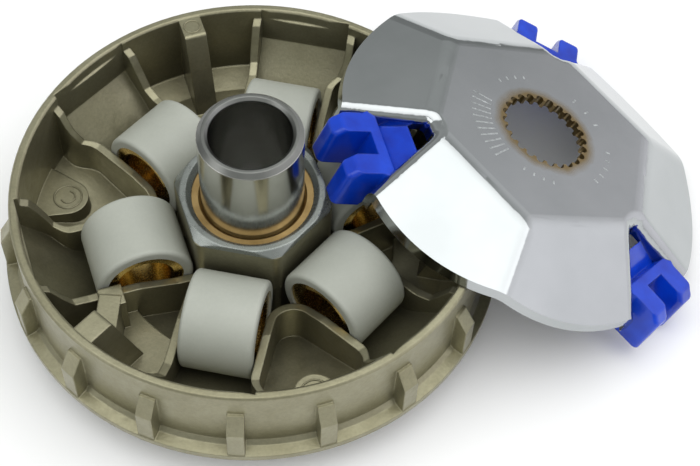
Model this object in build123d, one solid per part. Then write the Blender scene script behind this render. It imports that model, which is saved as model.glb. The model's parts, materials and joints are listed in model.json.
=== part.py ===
from build123d import *
import os
from math import cos, radians, sin, tan

# Scooter variator set: a movable drive face lying belt side down, with its rollers in their
# channels and its steel boss standing in the hub, and the ramp plate leaning on its rim.
# Millimetres. Z is the boss axis, and z = 0 is the ground under the hub.

# ---- drive face (one aluminium casting) ----
flange_r = 51.5             # edge of the belt cone
flange_z = 9.0              # underside of that edge above the ground
flange_t = 1.5
cone_foot_r = 15.0          # the belt cone meets the hub's foot here
floor_t = 2.3               # wall under the pockets
wall_ro = 48.4              # outer wall
wall_ri = 46.5
rim_z = 28.2
hub_flat = 14.5             # centre to each flat of the hexagonal hub
hub_z = 26.0
bush_r = 12.4               # bore that holds the bush
rib_count = 18
rib_w = 3.3
rib_azimuth = -89.0
rib_z = 22.5

# ---- roller channels ----
channel_count = 6
channel_azimuth = -98.0
channel_half = 7.8
channel_wall = 1.7
channel_end = 46.0          # flat inner face of the outer wall at the end of a channel
flares = (0.6, 3.2)         # how far a wall spreads at its outer end: on a post's side, on a pad's
flare_from = 36.0
flare_to = 42.8
ramp_r = 40.0               # concave ramp, about a tangential axis
ramp_axis_r = 13.3
ramp_axis_z = 42.2
wall_top = [(14, 13.6), (21, 14.2), (28, 16.0), (38, 16.4), (41, 17.2), (43, 20.6), (45, 24.6), (47.6, 26.4)]

# ---- what stands between the channels ----
post_azimuths = [112.0, 232.0, 352.0]
post_w = 4.7
post_z = 28.0
tile_r = 29.5
tile_z = 8.6
pad_azimuths = [52.0, 172.0, 292.0]
pad_r = 4.3
pad_centre_r = 40.4
pad_z = 11.6
bend_r = 5.3                # the two walls beside a pad meet in a rounded bend near the hub

# ---- bush and boss ----
boss_ro = 10.5
boss_ri = 8.25
boss_len = 45.0
boss_clearance = 0.05
bush_z = (0.8, 24.5)

# ---- rollers ----
roller_r = 10.0
roller_len = 15.0
core_ro = 7.9
core_ri = 5.4
core_len = 14.0
roller_gap = 0.12           # running gap over the ramp
roller_angle = 23.0         # resting place on the ramp's arc, from straight down

# ---- ramp plate, in its own frame: z = 0 is the top of the flat centre ----
plate_t = 2.0
plate_r = 42.1
plate_flat = 24.3           # centre to each fold
plate_slope = 28.1
fold_r = 8.0
hole_r = 9.0
tooth_r = 0.85
tooth_count = 24
slot_angles = [60.0, 180.0, 300.0]
slot_inner = 26.9
slot_half = 1.7
slot_spread = 0.62          # half-width gained per mm outwards
lip_t = 1.8                 # sheet turned down round each slot
lip_depth = 4.6
lip_round = 2.6

# ---- slide pieces, in the frame of their slot: x runs outwards ----
slide_half = 7.8
slide_end = 45.0
slide_low = -17.57
groove_half = 2.9
groove_from = 37.4

# ---- how the plate leans: its centre, its slot direction and its normal ----
plate_centre = (59.4, 18.33, 27.62)
plate_x = (0.87302, 0.29092, -0.3914)
plate_normal = (0.37131, 0.12368, 0.92023)


def cone_z(r):
    """Height of the belt cone's surface at radius r."""
    return flange_z * (r - cone_foot_r) / (flange_r - cone_foot_r)


def turned(points):
    """Solid of revolution about Z from (radius, height) points."""
    return revolve(Plane.XZ * make_face(Polyline(*points, close=True)), Axis.Z)


def channel_outline(half, end, sides):
    """Plan of one channel along +X, with S-shaped walls where it widens on its right and left."""
    right, left = half + flares[sides[0]], half + flares[sides[1]]
    edge = Line((10, -half), (flare_from, -half))
    edge += Spline((flare_from, -half), (flare_to, -right), tangents=[(1, 0), (1, 0)])
    edge += Polyline((flare_to, -right), (end, -right), (end, left), (flare_to, left))
    edge += Spline((flare_to, left), (flare_from, half), tangents=[(-1, 0), (-1, 0)])
    edge += Polyline((flare_from, half), (10, half), (10, -half))
    return make_face(edge)


def bend_corner(vertex_x, radius):
    """What a rounding of this radius takes off the 60 degree corner between two channels."""
    run = 4 * radius
    corner = make_face(Polyline((vertex_x, 0), (vertex_x + run, -run * tan(radians(30))),
                                (vertex_x + run, run * tan(radians(30))), close=True))
    return corner - fillet(corner.vertices().sort_by(Axis.X)[0], radius)


def across(profile, width):
    """Solid of a profile in the XZ plane, centred on Y."""
    face = Plane.XZ * make_face(Polyline(*profile, close=True))
    return extrude(face, amount=width / 2, both=True)


def spun(shape, angle):
    return Rot(0, 0, angle) * shape


def drive_face():
    channels = [channel_azimuth + 360 / channel_count * i for i in range(channel_count)]
    shell = turned([
        (bush_r - 2, 0), (cone_foot_r, 0), (flange_r, flange_z), (flange_r, flange_z + flange_t),
        (wall_ro + 0.9, flange_z + flange_t + 0.4), (wall_ro, flange_z + flange_t + 1.3),
        (wall_ro, rim_z - 0.4), (wall_ro - 0.4, rim_z), (wall_ri + 0.4, rim_z), (wall_ri, rim_z - 0.4),
        (wall_ri, cone_z(wall_ri) + floor_t), (cone_foot_r, floor_t), (bush_r - 2, floor_t)])
    hexagon = fillet(RegularPolygon(hub_flat, 6, major_radius=False).vertices(), 2.5)
    hub = extrude(Rot(0, 0, channel_azimuth + 30) * hexagon, hub_z)
    hub &= turned([(0, 1), (17.2, 1), (17.2, hub_z - 2.4), (14.7, hub_z), (0, hub_z)])
    body = shell + hub

    reach = turned([(9, 1)] + [(47.6, cone_z(47.6) + 1)] + wall_top[::-1] + [(9, wall_top[0][1])])
    sides = [(i % 2, 1 - i % 2) for i in range(channel_count)]
    blocks = [spun(extrude(channel_outline(channel_half + channel_wall, 47.2, side), rim_z), a) & reach
              for a, side in zip(channels, sides)]
    corner = extrude(bend_corner(2 * (channel_half + channel_wall), bend_r - channel_wall), rim_z) & reach
    corners = [spun(corner, a) for a in pad_azimuths]
    tile = turned([(tile_r, cone_z(tile_r) + 1), (46.8, cone_z(46.8) + 1), (46.8, tile_z + 2),
                   (45, tile_z), (tile_r, tile_z)])
    tiles = [tile & spun(Pos(38, 0, 10) * Box(24, 26, 24), a) for a in post_azimuths]
    post = across([(34.8, 7), (47.4, 9), (47.4, post_z), (41.2, post_z)], post_w)
    post = fillet(post.edges().filter_by(Axis.Y).group_by(Axis.Z)[-1].sort_by(Axis.X)[0], 0.8)
    posts = [spun(post, a) for a in post_azimuths]
    fan = make_hull([Pos(pad_centre_r, 0) * CenterArc((0, 0), pad_r, 0, 360).edge(),
                     Line((47, -7), (47, 7)).edge()])
    pad = extrude(fan, pad_z) & turned([(30, cone_z(30) + 1), (47.6, cone_z(47.6) + 1),
                                        (47.6, pad_z), (30, pad_z)])
    pads = [spun(pad, a) for a in pad_azimuths]
    lug = spun(Pos(32.6, 10.4, 11.6) * Box(4.8, 4.6, 12.4), channels[-1])
    web = Pos(-26.6, -28.6, 12) * Box(4.4, 14, 12)
    body = body + blocks + corners + tiles + posts + pads + [lug, web]

    ramp = Pos(ramp_axis_r, 0, ramp_axis_z) * Rot(90, 0, 0) * Cylinder(ramp_r, 60)
    for a, side in zip(channels, sides):
        cavity = extrude(channel_outline(channel_half, channel_end, side), rim_z + 5) & ramp
        body -= spun(cavity - Pos(0, 0, 20) * Box(2 * hub_flat, 60, 60), a)
    gap = Pos(0, 0, 4.5) * extrude(bend_corner(2 * channel_half, bend_r), rim_z)
    for a in pad_azimuths:
        body -= spun(gap, a) - hub
    rib = across([(47.6, flange_z + 0.6), (flange_r - 0.2, flange_z + 0.6), (flange_r - 0.2, 18.6),
                  (flange_r - 0.8, 19.6), (49.0, rib_z), (47.6, rib_z)], rib_w)
    rib &= turned([(47.5, 0), (60, 0), (60, 40), (47.5, 40)])
    body += [spun(rib, rib_azimuth + 360 / rib_count * i) for i in range(rib_count)]
    body -= Pos(0, 0, 15) * Cylinder(bush_r, 60)
    body -= turned([(bush_r, hub_z - 1.1), (bush_r + 1.3, hub_z + 0.2), (0, hub_z + 0.2), (0, hub_z - 1.1)])
    return body


def bush():
    ri = boss_ro + boss_clearance
    return turned([(ri, bush_z[0]), (bush_r, bush_z[0]), (bush_r, bush_z[1]), (ri + 0.5, bush_z[1]),
                   (ri, bush_z[1] - 0.5)])


def boss():
    return turned([
        (boss_ri + 0.3, 0), (boss_ro - 0.5, 0), (boss_ro, 0.5), (boss_ro, boss_len - 1),
        (boss_ro - 1, boss_len), (boss_ri + 0.6, boss_len), (boss_ri, boss_len - 0.6), (boss_ri, 0.3)])


def roller(azimuth):
    """Shell and core of the roller in the channel at this azimuth."""
    path = ramp_r - roller_gap - roller_r
    r = ramp_axis_r + path * sin(radians(roller_angle))
    z = ramp_axis_z - path * cos(radians(roller_angle))
    place = Rot(0, 0, azimuth) * Pos(r, 0, z) * Rot(90, 0, 0)
    shell = Cylinder(roller_r, roller_len) - Cylinder(core_ro, roller_len)
    shell = fillet(shell.edges().filter_by(GeomType.CIRCLE).filter_by(lambda e: e.radius > 9), 0.9)
    core = Cylinder(core_ro, core_len) - Cylinder(core_ri, core_len)
    core = chamfer(core.edges().filter_by(GeomType.CIRCLE).filter_by(lambda e: e.radius < 6), 0.6)
    return place * shell, place * core


def dish(top, flat, fold_r):
    """Solid six-sided dish: a flat centre and six sloping facets, rounded along every fold."""
    reach = 60.0
    fall = (reach - flat) * tan(radians(plate_slope))
    solid = loft([Pos(0, 0, top) * RegularPolygon(flat, 6, major_radius=False),
                  Pos(0, 0, top - fall) * RegularPolygon(reach, 6, major_radius=False)])
    return fillet([e for e in solid.edges() if e.center().Z > top - fall + 1], fold_r)


def slot_outline(grow=0.0):
    """Plan of one slot along +X, a V with a rounded inner end, grown by this much."""
    half = slot_half + grow * 0.55
    wide = half + slot_spread * (60 - slot_inner + grow)
    face = make_face(Polyline((slot_inner - grow, -half), (60, -wide), (60, wide),
                              (slot_inner - grow, half), close=True))
    return fillet(face.vertices().group_by(Axis.X)[0], 1.4 + grow)


def skin_edges(plate):
    """Edges of the slots that lie on the plate's upper skin."""
    found = []
    for edge in plate.edges():
        middle = edge @ 0.5
        for a in slot_angles:
            p = middle.rotate(Axis.Z, -a)
            side = slot_half + slot_spread * (p.X - slot_inner)
            down = tan(radians(plate_slope)) * max(0, p.X * cos(radians(30)) + abs(p.Y) * 0.5 - plate_flat)
            in_slot = p.X > slot_inner - 0.3 and abs(p.Y) < side + 0.3
            if in_slot and abs(p.Z + down) < 0.9 and edge.length > 0.2:
                found.append(edge)
    return found


def ramp_plate():
    inner_flat = plate_flat - plate_t * tan(radians(plate_slope / 2))
    outer = dish(0, plate_flat, fold_r)
    plate = outer - dish(-plate_t, inner_flat, fold_r - plate_t)
    skirt = outer - Pos(0, 0, -lip_depth) * outer
    for a in slot_angles:
        plate += skirt & spun(extrude(slot_outline(lip_t), amount=40, both=True), a)
    plate &= Cylinder(plate_r, 80)
    for a in slot_angles:
        plate -= spun(extrude(slot_outline(), amount=40, both=True), a)
    plate = fillet(skin_edges(plate), lip_round)
    plate -= Cylinder(hole_r, 20)
    for i in range(tooth_count):
        plate -= spun(Pos(hole_r + 0.15, 0) * Cylinder(tooth_r, 20), 360 / tooth_count * i)
    return plate


def slide_piece(plate, angle):
    """Moulded slide: clips into a slot's lips, and its two prongs straddle a guide post."""
    side = across([(29.6, -5.4), (34.2, -9.4), (35.2, -7.2), (slide_end - 1.8, -7.6), (slide_end, -9.4),
                   (slide_end, slide_low), (39.0, slide_low), (36.2, -12.5), (29.6, -9.2)], 40)
    plan = make_face(Polyline((29.6, -4.0), (36.4, -8.4), (37.8, -slide_half), (slide_end, -slide_half),
                              (slide_end, slide_half), (37.8, slide_half), (36.4, 8.4), (29.6, 4.0),
                              close=True))
    plan -= Pos((groove_from + 60) / 2, 0) * Rectangle(60 - groove_from, 2 * groove_half)
    plan = fillet(plan.vertices().group_by(Axis.X)[-1], 1.3)
    piece = side & extrude(plan, amount=40, both=True)
    upper = [edge for edge in piece.edges().filter_by(Axis.Y)
             if edge.center().X > slide_end - 2 and edge.center().Z > -12]
    return spun(fillet(upper, 1.0), angle) - plate


movable_face = drive_face()
nodes = {"movable_face": movable_face, "hub_bush": bush(), "boss_sleeve": boss()}
for n in range(channel_count):
    shell, core = roller(channel_azimuth + 360 / channel_count * n)
    nodes[f"roller_{n + 1}_shell"] = shell
    nodes[f"roller_{n + 1}_core"] = core
lean = Plane(origin=plate_centre, x_dir=plate_x, z_dir=plate_normal).location
flat_plate = ramp_plate()
nodes["ramp_plate"] = lean * flat_plate
for n, angle in enumerate(slot_angles):
    nodes[f"slide_piece_{n + 1}"] = lean * slide_piece(flat_plate, angle)

os.makedirs("parts", exist_ok=True)
for name, shape in nodes.items():
    export_step(shape, f"parts/{name}.step")
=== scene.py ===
import json
from math import cos, radians, sin

import bmesh
import bpy
from mathutils import Matrix, Vector


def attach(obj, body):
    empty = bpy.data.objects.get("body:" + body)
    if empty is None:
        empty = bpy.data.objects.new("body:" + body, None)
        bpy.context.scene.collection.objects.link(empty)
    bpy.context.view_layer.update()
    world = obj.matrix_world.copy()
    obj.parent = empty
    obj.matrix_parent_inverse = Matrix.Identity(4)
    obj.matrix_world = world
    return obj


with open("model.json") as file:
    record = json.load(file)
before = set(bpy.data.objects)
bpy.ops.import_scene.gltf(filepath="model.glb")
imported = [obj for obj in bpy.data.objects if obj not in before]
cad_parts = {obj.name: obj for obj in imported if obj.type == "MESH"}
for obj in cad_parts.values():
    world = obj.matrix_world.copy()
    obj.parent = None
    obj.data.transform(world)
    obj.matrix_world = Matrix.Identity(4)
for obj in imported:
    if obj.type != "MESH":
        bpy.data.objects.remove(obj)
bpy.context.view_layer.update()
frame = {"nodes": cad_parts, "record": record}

MM = 0.001

# ---------------------------------------------------------------- shared with the CAD: mm and degrees
MARKED_POST_AZIMUTHS = [112, 352]
PAD_AZIMUTHS = [52, 172, 292]
POST_TOP_Z = 28.0
POST_MARK_R = 44.1
PAD_TOP_Z = 11.6
PAD_CENTRE_R = 40.4
PLATE_CENTRE = Vector((59.4, 18.33, 27.62))
PLATE_X = Vector((0.87302, 0.29092, -0.3914)).normalized()
PLATE_Z = Vector((0.37131, 0.12368, 0.92023)).normalized()
PLATE_Y = PLATE_Z.cross(PLATE_X).normalized()
PLATE_AXES = Matrix((PLATE_X, PLATE_Y, PLATE_Z)).transposed()

# where a finish changes on one piece, in metres as shader coordinates are
HUB_REACH = 0.0172              # radius just past the hub's corners
HUB_TURNED_FROM = 0.0246        # height above which the hub is turned
BOSS_END_FROM = 0.0441          # height above which the boss is rougher and painted darker as shade
PLATE_RAMP_SCALE = 50.0         # a radius of 20 mm on the plate fills its colour ramp


# ---------------------------------------------------------------- shader helpers
class Nodes:
    """Builds shader nodes in one node tree."""

    def __init__(self, tree):
        self.tree = tree

    def add(self, kind, inputs=None, **settings):
        node = self.tree.nodes.new(kind)
        for key, value in settings.items():
            setattr(node, key, value)
        for key, value in (inputs or {}).items():
            self.put(node.inputs[key], value)
        return node

    def put(self, socket, value):
        if isinstance(value, bpy.types.NodeSocket):
            self.tree.links.new(value, socket)
        else:
            socket.default_value = value

    def math(self, operation, a, b=0.0):
        node = self.add("ShaderNodeMath", operation=operation)
        self.put(node.inputs[0], a)
        self.put(node.inputs[1], b)
        return node.outputs[0]

    def coords(self, axes=None, centre=None, scale=(1, 1, 1)):
        """Object coordinates in metres, moved into a tilted frame and stretched where asked."""
        out = self.add("ShaderNodeTexCoord").outputs["Object"]
        if axes is not None:
            node = self.add("ShaderNodeMapping", {"Vector": out}, vector_type="TEXTURE")
            node.inputs["Location"].default_value = centre * MM
            node.inputs["Rotation"].default_value = axes.to_euler()
            out = node.outputs[0]
        if scale != (1, 1, 1):
            out = self.add("ShaderNodeMapping", {"Vector": out, "Scale": scale}).outputs[0]
        return out

    def split(self, vector):
        return self.add("ShaderNodeSeparateXYZ", {"Vector": vector}).outputs

    def noise(self, vector, scale, detail=4.0, rough=0.55):
        inputs = {"Vector": vector, "Scale": scale, "Detail": detail, "Roughness": rough}
        return self.add("ShaderNodeTexNoise", inputs).outputs["Fac"]

    def ramp(self, fac, stops):
        node = self.add("ShaderNodeValToRGB", {"Fac": fac})
        elements = node.color_ramp.elements
        while len(elements) < len(stops):
            elements.new(0.5)
        for element, (at, value) in zip(elements, stops):
            element.position = at
            element.color = (*value, 1) if isinstance(value, tuple) else (value, value, value, 1)
        return node.outputs["Color"]

    def spread(self, noise, low, high):
        """The noise's useful middle range stretched between two values or colours."""
        return self.ramp(noise, [(0.3, low), (0.7, high)])

    def mix(self, fac, a, b, blend="MIX"):
        node = self.add("ShaderNodeMix", data_type="RGBA", blend_type=blend)
        self.put(node.inputs["Factor"], fac)
        for socket, value in ((node.inputs[6], a), (node.inputs[7], b)):
            self.put(socket, value if isinstance(value, bpy.types.NodeSocket) else (*value, 1))
        return node.outputs[2]

    def bump(self, height, strength, distance, normal=None):
        inputs = {"Height": height, "Strength": strength, "Distance": distance}
        node = self.add("ShaderNodeBump", inputs)
        if normal is not None:
            self.put(node.inputs["Normal"], normal)
        return node.outputs[0]

    def soft_edges(self, radius):
        return self.add("ShaderNodeBevel", {"Radius": radius}, samples=6).outputs[0]


class Finish(Nodes):
    """One node material."""

    def __init__(self, name):
        self.mat = bpy.data.materials.new(name)
        self.mat.use_nodes = True
        super().__init__(self.mat.node_tree)

    def shade(self, **values):
        bsdf = self.tree.nodes["Principled BSDF"]
        for key, value in values.items():
            self.put(bsdf.inputs[key.replace("_", " ")], value)
        return self.mat


# ---------------------------------------------------------------- materials
def turned_hub_end(n, p):
    """1 on the hub's turned upper end, 0 elsewhere on the casting."""
    x, y, z = n.split(p)
    square = n.math("ADD", n.math("MULTIPLY", x, x), n.math("MULTIPLY", y, y))
    near_axis = n.math("LESS_THAN", square, HUB_REACH * HUB_REACH)
    return n.math("MULTIPLY", near_axis, n.math("GREATER_THAN", z, HUB_TURNED_FROM))


def cast_aluminium():
    n = Finish("cast_aluminium")
    p = n.coords()
    blotch = n.noise(p, 90, 5)
    grain = n.noise(p, 1500, 3, 0.6)
    colour = n.spread(blotch, (0.278, 0.26, 0.164), (0.35, 0.331, 0.222))
    colour = n.mix(0.35, colour, n.spread(grain, 0.55, 0.95), "MULTIPLY")
    # painted shade: the colour darkens towards a dark brown in pockets, recesses and corners, where
    # ambient occlusion finds them
    open_air = n.add("ShaderNodeAmbientOcclusion", {"Distance": 0.022}, samples=8).outputs["AO"]
    painted_shade = n.math("SUBTRACT", 1.0, n.ramp(open_air, [(0.03, 0.42), (0.45, 1.0)]))
    colour = n.mix(painted_shade, colour, (0.07, 0.062, 0.04))
    turned = turned_hub_end(n, p)
    colour = n.mix(turned, colour, n.spread(blotch, (0.24, 0.26, 0.243), (0.31, 0.33, 0.312)))
    rough = n.spread(n.noise(p, 400), 0.29, 0.43)
    rough = n.math("SUBTRACT", rough, n.math("MULTIPLY", turned, 0.08))
    skin = n.math("MULTIPLY", grain, n.math("SUBTRACT", 1.0, n.math("MULTIPLY", turned, 0.85)))
    normal = n.bump(skin, 0.25, 0.00012, n.soft_edges(0.00045))
    normal = n.bump(n.noise(p, 260, 2), 0.1, 0.0003, normal)
    return n.shade(Base_Color=colour, Metallic=0.78, Roughness=rough, Normal=normal)


def ground_steel():
    n = Finish("ground_steel")
    p = n.coords()
    rings = n.noise(n.coords(scale=(30, 30, 6000)), 1.0, 3)
    stain = n.noise(p, 120)
    rough_and_shaded_end = n.math("GREATER_THAN", n.split(p)[2], BOSS_END_FROM)
    colour = n.spread(stain, (0.42, 0.42, 0.385), (0.53, 0.53, 0.50))
    # the boss's top end is rougher, and its colour is darkened as painted shade
    colour = n.mix(rough_and_shaded_end, colour, n.spread(stain, (0.16, 0.165, 0.155), (0.25, 0.255, 0.24)))
    rough = n.math("ADD", n.spread(rings, 0.15, 0.22), n.math("MULTIPLY", rough_and_shaded_end, 0.16))
    normal = n.bump(rings, 0.05, 0.00003, n.soft_edges(0.0003))
    return n.shade(Base_Color=colour, Metallic=1.0, Roughness=rough, Normal=normal)


def sintered_bronze():
    n = Finish("sintered_bronze")
    p = n.coords()
    speck = n.noise(p, 1800)
    colour = n.spread(n.noise(p, 200), (0.29, 0.19, 0.075), (0.46, 0.32, 0.14))
    normal = n.bump(speck, 0.2, 0.00005)
    return n.shade(Base_Color=colour, Metallic=1.0, Roughness=n.spread(speck, 0.28, 0.46), Normal=normal)


def turned_brass():
    n = Finish("turned_brass")
    p = n.coords()
    fine = n.noise(p, 2500, 3)
    colour = n.spread(n.noise(p, 350), (0.42, 0.28, 0.08), (0.78, 0.58, 0.22))
    normal = n.bump(fine, 0.2, 0.00004)
    return n.shade(Base_Color=colour, Metallic=1.0, Roughness=n.spread(fine, 0.16, 0.32), Normal=normal)


def nylon():
    n = Finish("roller_nylon")
    p = n.coords()
    fine = n.noise(p, 1600, 3)
    colour = n.spread(n.noise(p, 70), (0.37, 0.385, 0.335), (0.425, 0.44, 0.385))
    colour = n.mix(0.1, colour, n.ramp(fine, [(0.35, 0.7), (0.65, 1.0)]), "MULTIPLY")
    rough = n.spread(n.noise(p, 500, 3), 0.42, 0.55)
    return n.shade(Base_Color=colour, Roughness=rough, Normal=n.bump(fine, 0.15, 0.00005),
                   Subsurface_Weight=0.05, Subsurface_Radius=(0.002, 0.002, 0.0018))


def blue_plastic():
    n = Finish("blue_plastic")
    p = n.coords()
    colour = n.spread(n.noise(p, 160, 3), (0.001, 0.028, 0.40), (0.002, 0.055, 0.60))
    rough = n.spread(n.noise(p, 900, 3), 0.14, 0.24)
    normal = n.bump(n.noise(p, 420, 2), 0.25, 0.0002, n.soft_edges(0.0005))
    return n.shade(Base_Color=colour, Roughness=rough, Normal=normal,
                   Coat_Weight=0.2, Coat_Roughness=0.08, Specular_IOR_Level=0.4)


def chrome_plate():
    """Bright plating, with a bare and browned band round the toothed hole."""
    n = Finish("chrome_plate")
    p = n.coords(PLATE_AXES, PLATE_CENTRE)
    x, y, _ = n.split(p)
    radius = n.math("SQRT", n.math("ADD", n.math("MULTIPLY", x, x), n.math("MULTIPLY", y, y)))
    ragged = n.math("SUBTRACT", radius, n.math("MULTIPLY", n.noise(p, 180, 3), 0.0026))
    bare = n.ramp(n.math("MULTIPLY", ragged, PLATE_RAMP_SCALE), [(0.43, 1.0), (0.54, 0.0)])
    haze = n.noise(p, 55)
    colour = n.mix(bare, n.spread(haze, (0.42, 0.44, 0.445), (0.47, 0.488, 0.495)), (0.27, 0.2, 0.1))
    rough = n.math("ADD", n.spread(haze, 0.09, 0.14), n.math("MULTIPLY", bare, 0.25))
    scratch = n.noise(n.coords(PLATE_AXES, PLATE_CENTRE, (300, 4000, 300)), 1.0, 2)
    normal = n.bump(n.noise(p, 45, 2), 0.06, 0.0006, n.bump(scratch, 0.03, 0.00002))
    return n.shade(Base_Color=colour, Metallic=1.0, Roughness=rough, Normal=normal)


def etched_steel():
    n = Finish("etched_steel")
    speck = n.noise(n.coords(), 1500, 3)
    colour = n.spread(speck, (0.34, 0.36, 0.36), (0.62, 0.65, 0.65))
    return n.shade(Base_Color=colour, Metallic=0.8, Roughness=n.spread(speck, 0.3, 0.45))


def pale_floor():
    n = Finish("pale_floor")
    colour = n.spread(n.noise(n.coords(), 12, 3), 0.93, 0.95)
    return n.shade(Base_Color=colour, Roughness=0.9, Specular_IOR_Level=0.1)


MATERIALS = {
    "cast_face": cast_aluminium(), "boss_steel": ground_steel(), "bush_bronze": sintered_bronze(),
    "roller_brass": turned_brass(), "roller_nylon": nylon(), "slide_blue": blue_plastic(),
    "plate_chrome": chrome_plate(), "etched": etched_steel(),
}


def dress(obj, material):
    obj.data.materials.clear()
    obj.data.materials.append(material)


slots = {part["node"]: part["material_slot"] for part in frame["record"]["subparts"]}
for node_name, node in frame["nodes"].items():
    dress(node, MATERIALS[slots[node_name]])


# ---------------------------------------------------------------- small raised marks, sizes in mm
SUNK = 0.1                      # how far a mark's foot goes into what it stands on
SHARP_ANGLE = radians(40)
POST_RING = (1.95, 1.5, 0.18)   # outer radius, inner radius, height
PAD_RING = (3.1, 2.7, 0.2)
PAD_ARC = (1.7, 1.3, 0.2)
PAD_ARC_START = 40
PAD_ARC_SWEEP = 230
TICK_WIDTH = 0.4
TICK_HEIGHT = 0.03
TICK_BEVEL = 0.22               # share of the tick's shorter side
TICK_ROWS = [                   # first azimuth, step, count, radius, length
    (146, 6, 11, 15.0, 4.4), (88, 9, 4, 14.6, 0.9), (300, 10, 5, 15.0, 1.1),
    (10, 14, 3, 14.6, 1.3), (228, 9, 4, 14.4, 1.0),
]


def piece(name, bm, material, body):
    """A finished mesh as an object that moves with a CAD body."""
    mesh = bpy.data.meshes.new(name)
    bmesh.ops.recalc_face_normals(bm, faces=bm.faces)
    bm.to_mesh(mesh)
    bm.free()
    mesh.shade_smooth()
    mesh.set_sharp_from_angle(angle=SHARP_ANGLE)
    obj = bpy.data.objects.new(name, mesh)
    bpy.context.collection.objects.link(obj)
    dress(obj, material)
    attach(obj, body)


def around(azimuth, radius, z):
    """Place at this azimuth and radius round the Z axis, turned to face outwards."""
    return Matrix.Rotation(radians(azimuth), 4, "Z") @ Matrix.Translation(Vector((radius, 0, z)) * MM)


def band(bm, one, two):
    """Joins two closed rows of vertices with faces, which piece() turns outwards."""
    for j in range(len(one)):
        k = (j + 1) % len(one)
        bm.faces.new((one[j], two[j], two[k], one[k]))


def low_ring(bm, place, outer, inner, height, steps, start=0.0, sweep=360.0):
    """Adds a low ring with rounded upper edges, or part of one with closed ends."""
    edge = min(height * 0.5, (outer - inner) * 0.3)
    profile = [(inner, -SUNK), (outer, -SUNK), (outer, height - edge), (outer - edge, height),
               (inner + edge, height), (inner, height - edge)]
    whole = sweep >= 360
    rows = []
    for i in range(steps if whole else steps + 1):
        a = radians(start + sweep * i / steps)
        points = [Vector((r * cos(a), r * sin(a), h)) * MM for r, h in profile]
        rows.append([bm.verts.new(place @ point) for point in points])
    for one, two in zip(rows, rows[1:] + rows[:1] if whole else rows[1:]):
        band(bm, one, two)
    if not whole:
        bm.faces.new(rows[0])
        bm.faces.new(list(reversed(rows[-1])))


def tick(bm, place, length):
    """Adds a low bar with bevelled upper edges."""
    bevel = min(TICK_WIDTH, length) * TICK_BEVEL
    rings = []
    for inset, z in ((0.0, -SUNK), (0.0, TICK_HEIGHT * 0.5), (bevel, TICK_HEIGHT)):
        x, y = length / 2 - inset, TICK_WIDTH / 2 - inset
        corners = [Vector((sx * x, sy * y, z)) * MM for sx, sy in ((-1, -1), (1, -1), (1, 1), (-1, 1))]
        rings.append([bm.verts.new(place @ corner) for corner in corners])
    for low, high in zip(rings, rings[1:]):
        band(bm, low, high)
    bm.faces.new(rings[-1])
    bm.faces.new(list(reversed(rings[0])))


for number, azimuth in enumerate(MARKED_POST_AZIMUTHS, 1):
    mark = bmesh.new()
    low_ring(mark, around(azimuth, POST_MARK_R, POST_TOP_Z), *POST_RING, steps=40)
    piece(f"post_mark_{number}", mark, MATERIALS["cast_face"], "movable_face")

for number, azimuth in enumerate(PAD_AZIMUTHS, 1):
    mark = bmesh.new()
    place = around(azimuth, PAD_CENTRE_R, PAD_TOP_Z)
    low_ring(mark, place, *PAD_RING, steps=48)
    low_ring(mark, place, *PAD_ARC, steps=24, start=PAD_ARC_START, sweep=PAD_ARC_SWEEP)
    piece(f"pad_mark_{number}", mark, MATERIALS["cast_face"], "movable_face")

plate_place = Matrix.Translation(PLATE_CENTRE * MM) @ PLATE_AXES.to_4x4()
ticks = bmesh.new()
for first, step, count, radius, length in TICK_ROWS:
    for i in range(count):
        tick(ticks, plate_place @ around(first + step * i, radius, 0), length)
piece("plate_ticks", ticks, MATERIALS["etched"], "ramp_plate")

# ---------------------------------------------------------------- camera
CAMERA_AT = Vector((20.13, -170.15, 267.73)) * MM
CAMERA_RIGHT = Vector((0.99834, 0.04786, 0.03191))
CAMERA_UP = Vector((-0.05752, 0.83067, 0.55379))
CAMERA_BACK = Vector((0.0, -0.5547, 0.83205))
LENS_MM = 75.31
SENSOR_MM = 36
NEAREST_DRAWN = 0.01
camera = bpy.data.objects.new("camera", bpy.data.cameras.new("camera"))
bpy.context.collection.objects.link(camera)
turn = Matrix((CAMERA_RIGHT, CAMERA_UP, CAMERA_BACK)).transposed().to_4x4()
camera.matrix_world = Matrix.Translation(CAMERA_AT) @ turn
camera.data.lens = LENS_MM
camera.data.sensor_width = SENSOR_MM
camera.data.clip_start = NEAREST_DRAWN
bpy.context.scene.camera = camera

# ---------------------------------------------------------------- floor and light
FLOOR_HALF = 3
FLOOR_Z = -0.00003              # just under the part's lowest face, so that the two don't flicker
LIGHTS_AIM = Vector((0.03, 0, 0.02))

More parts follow.
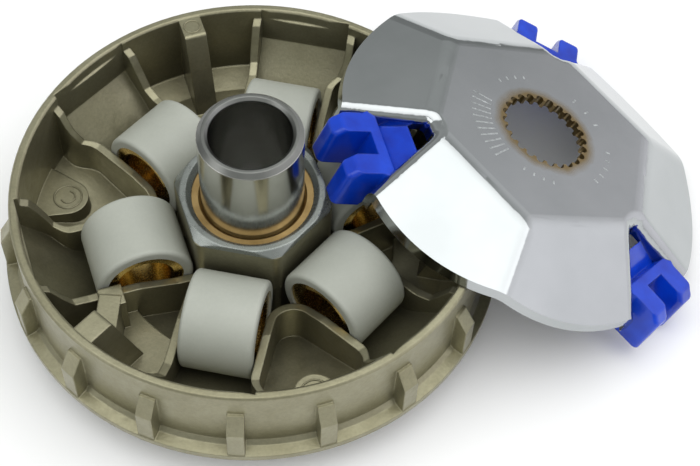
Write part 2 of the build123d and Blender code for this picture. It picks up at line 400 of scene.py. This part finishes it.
floor_mesh = bpy.data.meshes.new("floor")
corners = [(x * FLOOR_HALF, y * FLOOR_HALF, 0) for x, y in ((-1, -1), (1, -1), (1, 1), (-1, 1))]
floor_mesh.from_pydata(corners, [], [(0, 1, 2, 3)])
floor = bpy.data.objects.new("floor", floor_mesh)
bpy.context.collection.objects.link(floor)
floor.location.z = FLOOR_Z
dress(floor, pale_floor())


def softbox(name, at, size, power):
    data = bpy.data.lights.new(name, "AREA")
    data.shape = "RECTANGLE"
    data.size, data.size_y = size
    data.energy = power
    light = bpy.data.objects.new(name, data)
    bpy.context.collection.objects.link(light)
    light.location = at
    light.rotation_euler = (LIGHTS_AIM - Vector(at)).to_track_quat("-Z", "Y").to_euler()


softbox("top_box", (0.1, -0.1, 1.2), (1.8, 1.55), 11.5)
softbox("left_box", (-0.9, -0.4, 0.7), (0.6, 0.6), 1.8)


# world light: axis, where the ramp starts on it, tint, (place on the ramp, brightness) ...
WALLS_UPWARD = ("Z", 0.0, (0.97, 1.0, 0.985),
                ((0.0, 0.3), (0.3, 0.32), (0.47, 0.54), (0.84, 0.44), (0.95, 0.9)))
WALLS_RIGHTWARD = ("X", -1.0, (1.02, 0.98, 1.05), ((0.0, 0.0), (0.7, 0.0), (0.9, 0.68), (1.0, 0.82)))


def studio_walls():
    """World light in bands: grey all round, paler overhead and towards the right."""
    world = bpy.data.worlds.new("studio")
    world.use_nodes = True
    n = Nodes(world.node_tree)
    direction = n.split(n.add("ShaderNodeTexCoord").outputs["Generated"])
    bands = []
    for axis, low, tint, stops in (WALLS_UPWARD, WALLS_RIGHTWARD):
        span = n.add("ShaderNodeMapRange", {"Value": direction[axis], "From Min": low, "From Max": 1.0})
        tinted = [(at, tuple(value * part for part in tint)) for at, value in stops]
        bands.append(n.ramp(span.outputs[0], tinted))
    background = n.tree.nodes["Background"]
    n.put(background.inputs["Color"], n.mix(1.0, *bands, "ADD"))
    n.put(background.inputs["Strength"], 1.0)
    return world


bpy.context.scene.world = studio_walls()
bpy.context.scene.view_settings.view_transform = "Standard"
